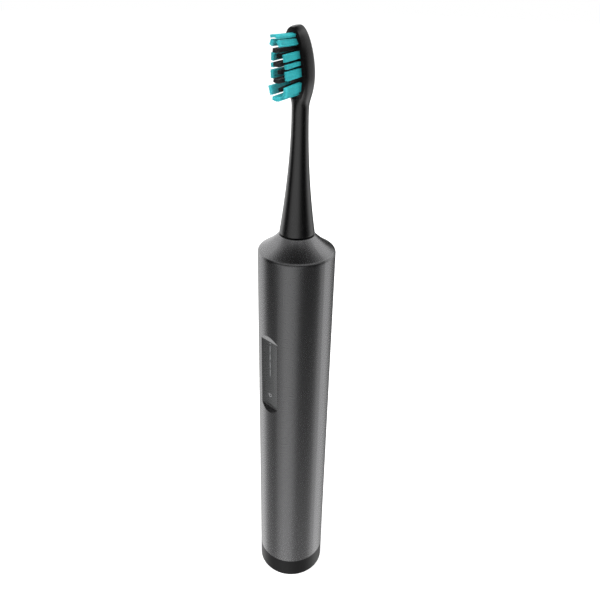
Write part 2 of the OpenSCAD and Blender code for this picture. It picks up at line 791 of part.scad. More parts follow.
module brush_sleeve() {
  bore = shaft_r + sleeve_fit;
  color([0.75, 0.75, 0.77])
    difference() {
      translate([0, 0, sleeve_low]) cylinder(r = sleeve_r, h = sleeve_top - sleeve_low - hair, $fn = small_fn);
      intersection() {
        translate([0, 0, sleeve_low - cut])
          cylinder(r = bore, h = shaft_top + tip_gap - sleeve_low + cut, $fn = small_fn);
        union() {
          translate([-body_r, shaft_r - flat_depth + sleeve_fit - body_r, sleeve_low - cut])
            cube([2 * body_r, body_r, rim_h]);
          translate([-body_r, -body_r, sleeve_low - cut])
            cube([2 * body_r, 2 * body_r, shaft_top - flat_l + slip - sleeve_low + cut]);
        }
      }
    }
}

// One tuft: a root slice and square strands that stand on it, as one closed surface
function bent(p, q, bend) = bend == 0 ? [p, q]
  : let (r = bend_r, a = p / r * 180 / PI) [(r + bend * q) * sin(a), bend * ((r + bend * q) * cos(a) - r)];
function line_at(i, size, count) = -size / 2 + floor(i / 2) * (size - strand_t) / (count - 1) + (i % 2) * strand_t;
function rim_at(k, ni, nj) = k <= ni ? [k, 0] : k <= ni + nj ? [ni, k - ni]
  : k <= 2 * ni + nj ? [2 * ni + nj - k, nj] : [0, 2 * ni + 2 * nj - k];
module tuft(w, h, nx, nv, length, lean_x, lean_v, bend) {
  ni = 2 * nx - 1;
  nj = 2 * nv - 1;
  rim_n = 2 * (ni + nj);
  grid_n = (ni + 1) * (nj + 1);
  tips_n = 4 * nx * nv;
  shift = [length * tan(lean_x), length * tan(lean_v)];
  root = [for (j = [0:nj], i = [0:ni]) bent(line_at(i, w, nx), line_at(j, h, nv), bend)];
  points = concat(
    [for (p = root) [p[0], p[1], 0]],
    [for (l = [0:nv - 1], k = [0:nx - 1], c = [[0, 0], [1, 0], [1, 1], [0, 1]])
      let (p = root[(2 * l + c[1]) * (ni + 1) + 2 * k + c[0]]) [p[0] + shift[0], p[1] + shift[1], length]],
    [for (k = [0:rim_n - 1]) let (g = rim_at(k, ni, nj), p = root[g[1] * (ni + 1) + g[0]])
      [p[0], p[1], -socket_sink + hair]],
    [[0, 0, -socket_sink + hair]]);
  cells = [for (j = [0:nj - 1], i = [0:ni - 1]) if (i % 2 == 1 || j % 2 == 1)
    let (a = j * (ni + 1) + i, b = a + 1, c = b + ni + 1, d = a + ni + 1) each [[a, c, b], [a, d, c]]];
  strands = [for (l = [0:nv - 1], k = [0:nx - 1])
    let (t = grid_n + 4 * (l * nx + k), a = 2 * l * (ni + 1) + 2 * k, r = [a, a + 1, a + ni + 2, a + ni + 1])
    each concat([for (m = [0:3]) let (o = (m + 1) % 4) each [[r[m], t + m, t + o], [r[m], t + o, r[o]]]],
      [[t, t + 2, t + 1], [t, t + 3, t + 2]])];
  walls = [for (k = [0:rim_n - 1])
    let (o = (k + 1) % rim_n, g = rim_at(k, ni, nj), e = rim_at(o, ni, nj), f = grid_n + tips_n,
      a = g[1] * (ni + 1) + g[0], b = e[1] * (ni + 1) + e[0])
    each [[f + k, a, b], [f + k, b, f + o], [f + k, f + o, f + rim_n]]];
  polyhedron(points, concat(cells, strands, walls));
}

module tuft_socket(w, h, bend) {
  if (bend == 0)
    translate([-w / 2 - tuft_fit, -h / 2 - tuft_fit, -socket_sink])
      cube([w + 2 * tuft_fit, h + 2 * tuft_fit, socket_sink + cut]);
  else {
    sweep = (w + 2 * tuft_fit) / bend_r * 180 / PI;
    translate([0, -bend * bend_r, -socket_sink]) rotate([0, 0, bend * 90 - sweep / 2])
      rotate_extrude(angle = sweep, $fn = small_fn * 2)
        translate([bend_r - h / 2 - tuft_fit, 0]) square([h + 2 * tuft_fit, socket_sink + cut]);
  }
}

module side_tufts() {
  for (side = [-1, 1], row = side_tuft_shares) {
    $w = tuft_w;
    $h = row[2] * field_l;
    $bend = 0;
    $nx = across;
    $nv = row[3];
    $length = bristle_l * row[4];
    $lean_x = side * row[5];
    $lean_v = row[6];
    translate([side * row[0] * field_half, row[1] * field_l, 0]) rotate([0, 0, side * -row[7]]) children();
  }
}

module middle_tufts(rows) {
  for (row = rows) {
    $w = row[1] * field_l;
    $h = row[2] * field_l;
    $bend = row[7];
    $nx = row[3];
    $nv = row[4];
    $length = bristle_l * row[5];
    $lean_x = 0;
    $lean_v = row[6];
    translate([0, row[0] * field_l, 0]) children();
  }
}

module all_tufts() {
  side_tufts() children();
  middle_tufts(end_tuft_shares) children();
  middle_tufts(black_tuft_shares) children();
}

module teal_tufts() {
  color([0.2, 0.65, 0.67]) on_face() {
    side_tufts() tuft($w, $h, $nx, $nv, $length, $lean_x, $lean_v, $bend);
    middle_tufts(end_tuft_shares) tuft($w, $h, $nx, $nv, $length, $lean_x, $lean_v, $bend);
  }
}

module black_tufts() {
  color([0.08, 0.08, 0.08]) on_face()
    middle_tufts(black_tuft_shares) tuft($w, $h, $nx, $nv, $length, $lean_x, $lean_v, $bend);
}

handle_shell();
base_cap();
base_o_ring();
coil_bobbin();
charging_coil();
coil_leads();
inner_frame();
battery_cell();
battery_tabs();
battery_pads();
circuit_board();
board_screws();
control_chip();
board_parts();
indicator_leds();
light_guide();
indicator_windows();
control_fascia();
key_seal();
power_key();
tact_switch();
tact_plunger();
motor_can();
motor_rear_cap();
motor_front_plate();
stator_core();
stator_coils();
shaft_bushes();
motor_pads();
rotor_yoke();
rotor_magnets();
drive_shaft();
shaft_seal();
nose_cap();
nose_o_ring();
brush_body();
brush_sleeve();
teal_tufts();
black_tufts();
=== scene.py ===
# %% [markdown]
# # An electric toothbrush
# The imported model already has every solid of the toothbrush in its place: a metal handle with a
# control strip, the drive inside it, and a brush head that pulls off its shaft.
# This lesson gives those solids their finishes. It rebuilds three of them with more detail, the
# smooth moulding of the head and the two groups of bristles, prints the sign on the key, and
# lights everything like a studio photo.

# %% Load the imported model
import math
import random

import bmesh
import bpy
from mathutils import Matrix, Vector


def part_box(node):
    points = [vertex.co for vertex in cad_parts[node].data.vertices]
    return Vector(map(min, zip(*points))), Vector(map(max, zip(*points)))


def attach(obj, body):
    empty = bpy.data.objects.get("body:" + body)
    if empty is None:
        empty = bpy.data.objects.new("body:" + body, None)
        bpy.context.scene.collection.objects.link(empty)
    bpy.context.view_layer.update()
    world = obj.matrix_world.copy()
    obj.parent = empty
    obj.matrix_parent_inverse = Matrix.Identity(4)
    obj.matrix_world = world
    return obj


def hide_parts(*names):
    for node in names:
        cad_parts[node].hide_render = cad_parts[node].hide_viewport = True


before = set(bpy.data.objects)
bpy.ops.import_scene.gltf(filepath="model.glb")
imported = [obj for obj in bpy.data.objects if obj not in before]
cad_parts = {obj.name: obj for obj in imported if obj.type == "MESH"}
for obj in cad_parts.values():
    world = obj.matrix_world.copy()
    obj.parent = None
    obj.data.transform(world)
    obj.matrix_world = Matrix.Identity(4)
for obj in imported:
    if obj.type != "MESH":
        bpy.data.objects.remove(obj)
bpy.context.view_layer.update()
MM = 0.001
print("solids loaded:", len(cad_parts))

# %% [markdown]
# ## The camera
# A photo of a tall object from close by shows it narrower at the foot. The lens and the place of
# the camera were worked out from that taper, so they are written as plain angles and distances.
# The matrix starts from a level camera in front. It is pitched down, turned and rolled a little,
# and then walked round the toothbrush by an eighth of a turn.

# %% Work out where the camera stands and looks
CAMERA_DISTANCE = 207.6 * MM
CAMERA_HEIGHT = 253.8 * MM
PITCH, ROLL, YAW = 0.5073, 0.0234, 0.0087
WALK_ROUND = math.radians(45)


def camera_matrix():
    """The camera's place and direction as one matrix."""
    forward = Vector((math.sin(YAW) * math.cos(PITCH), math.cos(YAW) * math.cos(PITCH),
                      -math.sin(PITCH)))
    level_right = Vector((math.cos(YAW), -math.sin(YAW), 0))
    level_up = level_right.cross(forward)
    right = level_right * math.cos(ROLL) + level_up * math.sin(ROLL)
    up = level_up * math.cos(ROLL) - level_right * math.sin(ROLL)
    turn = Matrix((right, up, -forward)).transposed().to_4x4()
    place = Matrix.Translation((0, -CAMERA_DISTANCE, CAMERA_HEIGHT))
    return Matrix.Rotation(WALK_ROUND, 4, "Z") @ place @ turn


print("the camera looks down by", round(math.degrees(PITCH), 1), "degrees")

# %% [markdown]
# The lens was solved with pixels numbered from their middles, and Blender counts from the edge
# of the picture. The shift makes up for that half pixel and does nothing more.

# %% Place the camera
FOCAL_LENGTH, SENSOR_WIDTH = 37.752, 36.0
NEAREST, FARTHEST = 0.01, 20
HALF_PIXEL = 0.5 / 600

lens = bpy.data.cameras.new("photo_lens")
lens.lens, lens.sensor_width, lens.sensor_fit = FOCAL_LENGTH, SENSOR_WIDTH, "HORIZONTAL"
lens.clip_start, lens.clip_end = NEAREST, FARTHEST
lens.shift_x, lens.shift_y = -HALF_PIXEL, HALF_PIXEL
camera = bpy.data.objects.new("photo_camera", lens)
camera.matrix_world = camera_matrix()
scene = bpy.context.scene
scene.collection.objects.link(camera)
scene.camera = camera
print("camera at", [round(c, 3) for c in camera.matrix_world.translation])

# %% [markdown]
# ## The room
# Metal shows the room more than itself. The dark and light bands down the handle are tall soft
# boxes with dark gaps between them. They could be built as glowing panels, but panels stand in
# the way when the camera walks round. So the room is written into the world instead, as ramps
# of grey round the horizon that only reflections see, while the camera sees plain white.
# The boxes lean and change up the wall, so there are four rings. The handle's lower half shows
# the low one, its upper half the middle one, the neck the high one and the shoulder the top one.
# Each stop is an angle in degrees from the camera's side, positive to its right, and the grey
# that shines there.

# %% Write down the rings of soft boxes
LOW_BOXES = [
    (-180, 0.60), (-150, 0.64), (-134, 0.87), (-118, 0.79), (-104, 0.37), (-91, 0.165),
    (-64, 0.072), (-54, 0.165), (-44, 0.30), (-30, 0.425), (-16, 0.39), (-6, 0.335),
    (3, 0.24), (11, 0.118), (20, 0.06), (40, 0.057), (54, 0.068), (68, 0.152),
    (80, 0.43), (91, 0.63), (104, 0.83), (120, 0.70), (134, 0.44), (150, 0.17),
    (166, 0.16), (180, 0.62)]
MID_BOXES = [
    (-180, 0.73), (-150, 0.70), (-134, 0.71), (-122, 0.72), (-112, 0.52), (-102, 0.24),
    (-92, 0.072), (-82, 0.065), (-70, 0.07), (-60, 0.088), (-46, 0.23), (-38, 0.365),
    (-28, 0.41), (-14, 0.38), (-4, 0.325), (4, 0.235), (12, 0.10), (20, 0.048),
    (34, 0.052), (54, 0.062), (63, 0.055), (70, 0.08), (78, 0.25), (86, 0.54),
    (104, 0.79), (118, 0.67), (126, 0.45), (136, 0.23), (148, 0.15), (166, 0.10),
    (180, 0.73)]
HIGH_BOXES = [
    (-180, 0.95), (-150, 0.95), (-124, 0.98), (-112, 0.70), (-100, 0.20), (-91, 0.032),
    (-82, 0.01), (-72, 0.036), (-60, 0.20), (-48, 0.33), (-28, 0.39), (-8, 0.38),
    (3, 0.32), (13, 0.215), (25, 0.085), (38, 0.015), (60, 0), (70, 0.03),
    (80, 0.12), (91, 0.34), (104, 0.57), (124, 0.63), (137, 0.36), (148, 0.06),
    (166, 0.04), (180, 0.70)]
TOP_BOXES = [
    (-180, 0.95), (-150, 0.93), (-137, 0.85), (-124, 0.83), (-111, 0.80), (-103, 0.45),
    (-95, 0.10), (-85, 0.04), (-60, 0.07), (30, 0.08), (60, 0.18), (80, 0.22),
    (94, 0.45), (104, 0.72), (122, 0.87), (140, 0.91), (146, 0.77), (153, 0.28),
    (162, 0.10), (172, 0.40), (180, 0.95)]
print("stops round the room:", len(LOW_BOXES + MID_BOXES + HIGH_BOXES + TOP_BOXES))

# %% [markdown]
# The world and every material are graphs of nodes. Placing nodes by hand is the usual way to
# start, and code does the same with one line a node. The first helper adds a node with its
# settings and its links, and the others are the three kinds that come back most often.

# %% Make helpers for nodes
def wire(tree, kind, **inputs):
    """Adds a node. A word that names a setting sets it, and the others name or number an
    input. An input given as a socket is linked, and one given as a value is set."""
    node = tree.nodes.new(kind)
    for name, value in inputs.items():
        if hasattr(node, name):
            setattr(node, name, value)
            continue
        numbered = name[0] == "i" and name[1:].isdigit()
        socket = node.inputs[int(name[1:])] if numbered else node.inputs[name]
        if isinstance(value, bpy.types.NodeSocket):
            tree.links.new(value, socket)
        else:
            socket.default_value = value
    return node


def maths(tree, operation, *values, **settings):
    """The result of a sum, a product or another operation on sockets and numbers."""
    inputs = {f"i{k}": value for k, value in enumerate(values)}
    return wire(tree, "ShaderNodeMath", operation=operation, **settings, **inputs).outputs[0]


def mix_grey(tree, part, first, second):
    """The first grey where part is 0, the second where it is 1."""
    return wire(tree, "ShaderNodeMix", data_type="FLOAT", i0=part, i2=first, i3=second).outputs[0]


def ramp(tree, fac, stops):
    """A colour ramp from (place, grey or colour) stops, eased between them."""
    node = wire(tree, "ShaderNodeValToRGB", i0=fac)
    node.color_ramp.interpolation = "EASE"
    while len(node.color_ramp.elements) < len(stops):
        node.color_ramp.elements.new(1)
    for element, (place, shade) in zip(node.color_ramp.elements, stops):
        element.position = place
        plain_grey = isinstance(shade, (int, float))
        element.color = (shade, shade, shade, 1) if plain_grey else (*shade, 1)
    return node.outputs["Color"]


print("node helpers:", [helper.__name__ for helper in (wire, maths, mix_grey, ramp)])

# %% [markdown]
# A ray's direction becomes two numbers. One says how far round the room it points, from 0 to 1
# with the camera's side at one half. The other says how high: 0 is straight down, one half is
# level and 1 is straight up.

# %% Open the world and measure directions in it
scene.view_settings.view_transform = "Standard"
world = bpy.data.worlds.new("soft_studio")
scene.world = world
world.use_nodes = True
sky = world.node_tree
sky.nodes.clear()
way = wire(sky, "ShaderNodeTexCoord").outputs["Generated"]
turned = wire(sky, "ShaderNodeVectorRotate", rotation_type="Z_AXIS", Vector=way,
              Angle=WALK_ROUND)
axes = wire(sky, "ShaderNodeSeparateXYZ", Vector=turned.outputs["Vector"]).outputs
angle = maths(sky, "ARCTAN2", axes["Y"], axes["X"])
share = maths(sky, "MULTIPLY_ADD", angle, 0.5 / math.pi, 0.5)
height = maths(sky, "MULTIPLY_ADD", axes["Z"], 0.5, 0.5)
print("nodes that measure a direction:", len(sky.nodes))

# %% [markdown]
# Each ring is a ramp over the share round the room. Going up the wall, one ring takes over from
# the one below it between two heights.

# %% Blend the rings up the wall
TAKE_OVER = [(MID_BOXES, 0.20, 0.265), (HIGH_BOXES, 0.28, 0.36), (TOP_BOXES, 0.52, 0.60)]


def ring_grey(stops):
    """The grey of one ring in the direction that a ray points."""
    return ramp(sky, share, [((degrees + 180) / 360, grey) for degrees, grey in stops])


boxes = ring_grey(LOW_BOXES)
for stops, start, end in TAKE_OVER:
    level = wire(sky, "ShaderNodeMapRange", i0=height, i1=start, i2=end).outputs[0]
    boxes = mix_grey(sky, level, boxes, ring_grey(stops))
print("rings blended:", 1 + len(TAKE_OVER))

# %% [markdown]
# The boxes end below the ceiling. A ring of lamps shines above them, brighter over the camera
# than beside it, and makes the light line round the shoulder. The white floor lifts what points
# down. Its ramp stands DIP higher than its light, and DIP comes off the sum again. So above the
# horizon, where the ramp falls to nothing, the boxes are darker by DIP.

# %% Add the lamp ring and the white floor
DIP = 0.07
ends = ramp(sky, height, [(0, 1), (0.74, 1), (0.80, 0.62), (0.90, 0.02), (1, 0)])
over_camera = ramp(sky, share, [(0.33, 0), (0.39, 1), (0.60, 1), (0.66, 0)])
near = ramp(sky, height, [(0.73, 0), (0.83, 0.36), (0.938, 0.45), (0.956, 0.085), (1, 0.08)])
beside = ramp(sky, height, [(0.73, 0), (0.83, 0.36), (0.90, 0.34), (0.932, 0.14), (1, 0.085)])
lamp_ring = mix_grey(sky, over_camera, beside, near)
white_floor = ramp(sky, height, [(0, 1), (0.05, 0.60), (0.113, 0.21), (0.178, 0.115),
                                 (0.2425, DIP), (0.5, DIP), (0.56, 0)])
ringed = maths(sky, "ADD", maths(sky, "MULTIPLY", boxes, ends), lamp_ring)
lifted = maths(sky, "ADD", ringed, white_floor)
shine = maths(sky, "SUBTRACT", lifted, DIP, use_clamp=True)
print("nodes in the room:", len(sky.nodes))

# %% [markdown]
# The Light Path node knows what kind of ray asks. Reflections get the room. Soft light gets a
# plain grey, under which a colour renders about as it is written. The camera gets plain white,
# and so does what it would see through something clear.

# %% Show each kind of ray its own world
SOFT_LIGHT = 0.75
WHITE = (1, 1, 1, 1)
room = wire(sky, "ShaderNodeBackground", Color=shine, Strength=1.0)
plain = wire(sky, "ShaderNodeBackground", Color=WHITE, Strength=SOFT_LIGHT)
white = wire(sky, "ShaderNodeBackground", Color=WHITE, Strength=1.0)
ray = wire(sky, "ShaderNodeLightPath").outputs
soft = wire(sky, "ShaderNodeMixShader", i0=ray["Is Glossy Ray"], i1=plain.outputs[0],
            i2=room.outputs[0])
seen = maths(sky, "MAXIMUM", ray["Is Camera Ray"], ray["Is Transmission Ray"])
whole = wire(sky, "ShaderNodeMixShader", i0=seen, i1=soft.outputs[0], i2=white.outputs[0])
wire(sky, "ShaderNodeOutputWorld", Surface=whole.outputs[0])
print("nodes in the world:", len(sky.nodes))

# %% [markdown]
# ## The lamps
# The world alone is flat. A large soft lamp above the bristles' side, a weaker one on the right
# and a faint one behind give the plastic and the bristles their shape. They stay out of
# reflections, which the room already fills.

# %% Hang the lamps
# Name, place, width and power in watts
LAMPS = [("key_lamp", (-0.30, -0.75, 0.75), 0.5, 6.4),
         ("fill_lamp", (0.80, 0.05, 0.55), 0.6, 3.6),
         ("back_lamp", (-0.35, 0.75, 0.6), 0.6, 2.0)]
AIM = Vector((0, 0, 0.14))

for name, place, width, watts in LAMPS:
    light = bpy.data.lights.new(name, "AREA")
    light.size, light.energy = width, watts
    lamp = bpy.data.objects.new(name, light)
    lamp.location = place
    lamp.rotation_euler = (AIM - Vector(place)).to_track_quat("-Z", "Y").to_euler()
    lamp.visible_glossy = False
    scene.collection.objects.link(lamp)
print("lamps:", len(LAMPS))

# %% [markdown]
# ## The floor
# The floor is a wide white disc. A photo's white paper is lit until it is as white as the
# backdrop, so the camera sees a glow added to the disc's own colour. A faint shadow stays under
# the foot.

# %% Lay the floor
FLOOR_RADIUS, FLOOR_SIDES = 3, 64
PAPER, GLOW = 0.8, 0.55

floor_mesh = bmesh.new()
bmesh.ops.create_circle(floor_mesh, cap_ends=True, segments=FLOOR_SIDES, radius=FLOOR_RADIUS)
floor_data = bpy.data.meshes.new("floor")
floor_mesh.to_mesh(floor_data)
floor_mesh.free()
floor = bpy.data.objects.new("floor", floor_data)
scene.collection.objects.link(floor)
floor.visible_glossy = False

paper = bpy.data.materials.new("white_floor")
paper.use_nodes = True
sheet = paper.node_tree
sheet.nodes.clear()
matt = wire(sheet, "ShaderNodeBsdfDiffuse", Color=(PAPER, PAPER, PAPER, 1))
glow = wire(sheet, "ShaderNodeEmission", Color=WHITE, Strength=GLOW)
dark = wire(sheet, "ShaderNodeEmission", Color=(0, 0, 0, 1), Strength=0.0)
seen = wire(sheet, "ShaderNodeLightPath").outputs["Is Camera Ray"]
lit = wire(sheet, "ShaderNodeMixShader", i0=seen, i1=dark.outputs[0], i2=glow.outputs[0])
both = wire(sheet, "ShaderNodeAddShader", i0=matt.outputs[0], i1=lit.outputs[0])
wire(sheet, "ShaderNodeOutputMaterial", Surface=both.outputs[0])
floor_data.materials.append(paper)
print("floor across, in metres:", 2 * FLOOR_RADIUS)

# %% [markdown]
# ## Finishes
# Every finish starts from one recipe: a base colour that a fine noise lightens and darkens, a
# roughness that the same noise stirs, and a shallow bump for the texture that a mould, a brush or
# a bead blast leaves. A painted image would do for one object, but it stretches on the next. The
# noise runs in metres, so its grain has a real size on every piece.

# %% Write the recipe for a finish
# Noise seldom goes past these two values, so a finish spreads its whole range between them
NOISE_LOW, NOISE_HIGH = 0.3, 0.7
NOISE_DETAIL, NOISE_ROUGHNESS = 3.0, 0.6
GLOSSIEST = 0.02


def finish(name, colour, metal=0.0, rough=0.5, stir=0.05, grain_mm=0.3, shade=0.12, bump=0.1,
           deep_mm=0.01, **sockets):
    """One finish: colour and roughness stirred by noise of grain_mm, with a bump deep_mm deep."""
    material = bpy.data.materials.new(name)
    material.use_nodes = True
    tree = material.node_tree
    shader = tree.nodes["Principled BSDF"]
    shader.inputs["Metallic"].default_value = metal
    for socket, value in sockets.items():
        shader.inputs[socket.replace("_", " ")].default_value = value
    spot = wire(tree, "ShaderNodeTexCoord").outputs["Object"]
    noise = wire(tree, "ShaderNodeTexNoise", Vector=spot, Scale=1 / (grain_mm * MM),
                 Detail=NOISE_DETAIL, Roughness=NOISE_ROUGHNESS).outputs["Fac"]
    low = tuple(c * (1 - shade) for c in colour)
    high = tuple(min(1, c * (1 + shade)) for c in colour)
    mottled = ramp(tree, noise, [(NOISE_LOW, low), (NOISE_HIGH, high)])
    tree.links.new(mottled, shader.inputs["Base Color"])
    stirred = wire(tree, "ShaderNodeMapRange", i0=noise, i1=NOISE_LOW, i2=NOISE_HIGH,
                   i3=max(GLOSSIEST, rough - stir), i4=rough + stir)
    tree.links.new(stirred.outputs[0], shader.inputs["Roughness"])
    relief = wire(tree, "ShaderNodeBump", Strength=bump, Distance=deep_mm * MM, Height=noise)
    tree.links.new(relief.outputs[0], shader.inputs["Normal"])
    return material


def dress(node, material):
    """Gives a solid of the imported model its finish."""
    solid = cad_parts[node]
    solid.data.materials.clear()
    solid.data.materials.append(material)


print("nodes to finish:", len(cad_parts))

# %% [markdown]
# The tube is bead-blasted aluminium, dyed dark grey: a metal with a visible grain and soft
# reflections. The strip is coated in the same shade but smoother. The head's plastic is a glossy
# black, with a higher index of refraction than usual because its highlights are strong. The base
# is a matt black that hardly shines.

# %% Finish what is outside
satin_metal = finish("satin_metal", (0.335, 0.335, 0.34), metal=1.0, rough=0.25, stir=0.05,
                     grain_mm=0.3, shade=0.14, bump=0.38, deep_mm=0.014)
head_black = finish("head_black", (0.002, 0.002, 0.0022), rough=0.22, stir=0.04, grain_mm=0.15,
                    bump=0.12, deep_mm=0.005, IOR=1.83, Specular_IOR_Level=0.8)
base_black = finish("base_black", (0.004, 0.004, 0.0043), rough=0.36, stir=0.05, grain_mm=0.2,
                    bump=0.3, deep_mm=0.012, Specular_IOR_Level=0.28)
strip_grey = finish("strip_grey", (0.250, 0.254, 0.256), metal=0.93, rough=0.28, stir=0.04,
                    grain_mm=0.15, bump=0.2, deep_mm=0.008)
for node, material in (("handle_shell", satin_metal), ("base_cap", base_black),
                       ("nose_cap", base_black), ("control_fascia", strip_grey),
                       ("power_key", strip_grey)):
    dress(node, material)
print("finishes so far:", len(bpy.data.materials))

# %% [markdown]
# ## What is inside
# The inner pieces show only when the head is pulled off or the shell is hidden, but a library
# part is looked at from everywhere. Each gets the finish of its real material: first the
# plastics, rubber and foam, with the milky windows of the strip, and then the metals.

# %% Finish the plastics, rubber and foam
PLASTICS = {
    "seal_rubber": (dict(colour=(0.03, 0.03, 0.03), rough=0.6, grain_mm=0.2),
                    ["base_o_ring", "key_seal", "motor_pads", "shaft_seal", "nose_o_ring"]),
    "pale_plastic": (dict(colour=(0.68, 0.68, 0.63), rough=0.45, grain_mm=0.4, shade=0.05),
                     ["coil_bobbin", "inner_frame", "light_guide"]),
    "lead_cover": (dict(colour=(0.45, 0.03, 0.02), rough=0.4), ["coil_leads"]),
    "cell_sleeve": (dict(colour=(0.05, 0.14, 0.34), rough=0.25, grain_mm=2.0, shade=0.06),
                    ["battery_cell"]),
    "foam": (dict(colour=(0.10, 0.10, 0.11), rough=0.9, grain_mm=0.25, bump=0.8, deep_mm=0.08),
             ["battery_pads"]),
    "board_green": (dict(colour=(0.02, 0.18, 0.08), rough=0.3, grain_mm=0.6), ["circuit_board"]),
    "chip_black": (dict(colour=(0.02, 0.02, 0.02), rough=0.5, grain_mm=0.1),
                   ["control_chip", "tact_plunger"]),
    "chip_tan": (dict(colour=(0.42, 0.30, 0.18), rough=0.5, grain_mm=0.1), ["board_parts"]),
    "led_resin": (dict(colour=(0.85, 0.84, 0.68), rough=0.2, grain_mm=0.3, shade=0.04),
                  ["indicator_leds"]),
    "milky_window": (dict(colour=(0.27, 0.275, 0.28), rough=0.3, grain_mm=0.2, shade=0.06),
                     ["indicator_windows"]),
}


def dress_all(finishes):
    """Makes each finish and gives it to its nodes."""
    for name, (recipe, nodes) in finishes.items():
        made = finish(name, **recipe)
        for node in nodes:
            dress(node, made)
    return sum(len(nodes) for _, nodes in finishes.values())


print("pieces of plastic, rubber and foam:", dress_all(PLASTICS))

# %% [markdown]
# Metals differ from plastics in one setting: all their light is reflection, in the metal's own
# colour. The copper has the deepest bump, so that the solid rings look like wound wire.

# %% Finish the metals
METALS = {
    "copper_wire": (dict(colour=(0.72, 0.33, 0.16), metal=1.0, rough=0.3, grain_mm=0.12,
                         bump=0.6, deep_mm=0.05),
                    ["charging_coil", "stator_coils"]),
    "nickel": (dict(colour=(0.66, 0.63, 0.58), metal=1.0, rough=0.25, grain_mm=0.3, shade=0.06),
               ["battery_tabs", "board_screws", "tact_switch", "rotor_magnets"]),
    "motor_steel": (dict(colour=(0.46, 0.46, 0.48), metal=1.0, rough=0.32, grain_mm=0.5,
                         shade=0.05),
                    ["motor_can", "motor_rear_cap", "motor_front_plate", "stator_core",
                     "rotor_yoke"]),
    "bush_bronze": (dict(colour=(0.55, 0.36, 0.17), metal=1.0, rough=0.4, grain_mm=0.1),
                    ["shaft_bushes"]),
    "shaft_steel": (dict(colour=(0.62, 0.62, 0.64), metal=1.0, rough=0.2, grain_mm=0.4,
                         shade=0.04),
                    ["drive_shaft", "brush_sleeve"]),
}
print("pieces of metal:", dress_all(METALS))

# %% [markdown]
# ## The brush head's moulding
# The real head is one injection moulding that runs from a round neck into a flat-faced plate. The
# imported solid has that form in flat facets. Here the same profile is drawn with many more rings,
# so the reflections run along it without a break. A subdivided box would be quicker, but it
# wouldn't keep the sizes. All of them are in millimetres, z is the height above the foot, and
# minus y is the side of the bristles.

# %% Set the sizes of the neck and the plate
NECK_LOW, NECK_LENGTH, HEAD_LENGTH = 166.05, 41.15, 26.85
NECK_TOP = NECK_LOW + NECK_LENGTH
TIP = NECK_TOP + HEAD_LENGTH
NECK_LOW_RADIUS, NECK_TOP_RADIUS = 6.35, 2.85
# Half the plate's width, the height where it is widest, and how far below that it narrows
PLATE_HALF, PLATE_MID, PLATE_LOW_LENGTH = 5.0, NECK_TOP + HEAD_LENGTH * 0.46, 10.7
# How far from the handle's axis the middle of the neck's top and of the plate lie
NECK_LEAN, PLATE_LEAN = 0.4, 0.5
# How far out the back stands, and how far in front of the axis the face and the tip lie
BACK_OUT, FACE_IN, TIP_IN = 3.1, 2.6, 0.35
FACE_Z, FACE_TILT = PLATE_MID + 1.2, math.radians(5.4)
SIDES, NECK_RINGS, HEAD_RINGS = 80, 40, 80
print("the moulding runs from", NECK_LOW, "to", round(TIP, 2), "mm")

# %% [markdown]
# A few curves give the outline at each height. Powers make them: 2 gives a plain ellipse, and a
# higher power a squarer one. The neck flares downwards, and the plate rounds off to both ends.

# %% Draw the outline at a height
NECK_FLARE = 1.8
TIP_ROUND, LOW_ROUND = 2.3, 1.8


def ease(t):
    """Goes from 0 to 1 with a soft start and a soft end."""
    t = min(1.0, max(0.0, t))
    return t * t * (3 - 2 * t)


def neck_radius(z):
    taper = max(0.0, 1 - (z - NECK_LOW) / NECK_LENGTH)
    return NECK_TOP_RADIUS + (NECK_LOW_RADIUS - NECK_TOP_RADIUS) * taper ** NECK_FLARE


def up_share(z):
    """How far up the plate a height is, from 0 at its widest to 1 at the tip."""
    return min(1.0, max(0.0, (z - PLATE_MID) / (TIP - PLATE_MID)))


def plate_radius(z):
    down = min(1.0, max(0.0, (PLATE_MID - z) / PLATE_LOW_LENGTH))
    above = (1 - up_share(z) ** TIP_ROUND) ** (1 / TIP_ROUND)
    return PLATE_HALF * above * (1 - down ** LOW_ROUND) ** (1 / LOW_ROUND)


print("half the plate's width a quarter below the tip, in mm:",
      round(plate_radius(TIP - HEAD_LENGTH / 4), 2))

# %% [markdown]
# A ring is a circle on the neck and turns into a squarer oval on the plate. Its front half
# reaches past the flat face that is cut later, and it shrinks to the tip faster than the back.

# %% Draw the rings
BACK_FALL = 1.6
FRONT_SPARE, FRONT_ROUND, FRONT_FALL = 0.4, 6, 1 / 3
JOIN = 8


def head_ring(z):
    """The points of one ring of the head at height z."""
    head = ease((z - NECK_TOP) / PLATE_LOW_LENGTH)
    rise = up_share(z)
    if z > PLATE_MID:
        wide = plate_radius(z)
    else:
        wide = (neck_radius(z) ** JOIN + plate_radius(z) ** JOIN) ** (1 / JOIN)
    if z <= NECK_TOP:
        middle = NECK_LEAN * ease((z - NECK_LOW) / NECK_LENGTH)
    else:
        middle = (NECK_LEAN + (PLATE_LEAN - NECK_LEAN) * head
                  - (PLATE_LEAN + TIP_IN) * rise ** BACK_FALL)
    back = BACK_OUT - (BACK_OUT + TIP_IN) * rise ** BACK_FALL
    face = -FACE_IN - (z - FACE_Z) * math.tan(FACE_TILT)
    round_part = neck_radius(z) * (1 - head)
    to_back = round_part + max(0.0, back - middle) * head
    to_front = round_part + ((middle - face) * head / (1 - FRONT_SPARE * head)
                             * (1 - rise ** FRONT_ROUND) ** FRONT_FALL)
    power = 2 / (2 + head)
    points = []
    for i in range(SIDES):
        turn = 2 * math.pi * i / SIDES
        c, s = math.cos(turn), math.sin(turn)
        across = math.copysign(abs(c) ** power, c)
        out = math.copysign(abs(s) ** power, s)
        deep = to_back if s > 0 else to_front
        points.append(Vector((wide * across, middle + deep * out, z)) * MM)
    return points


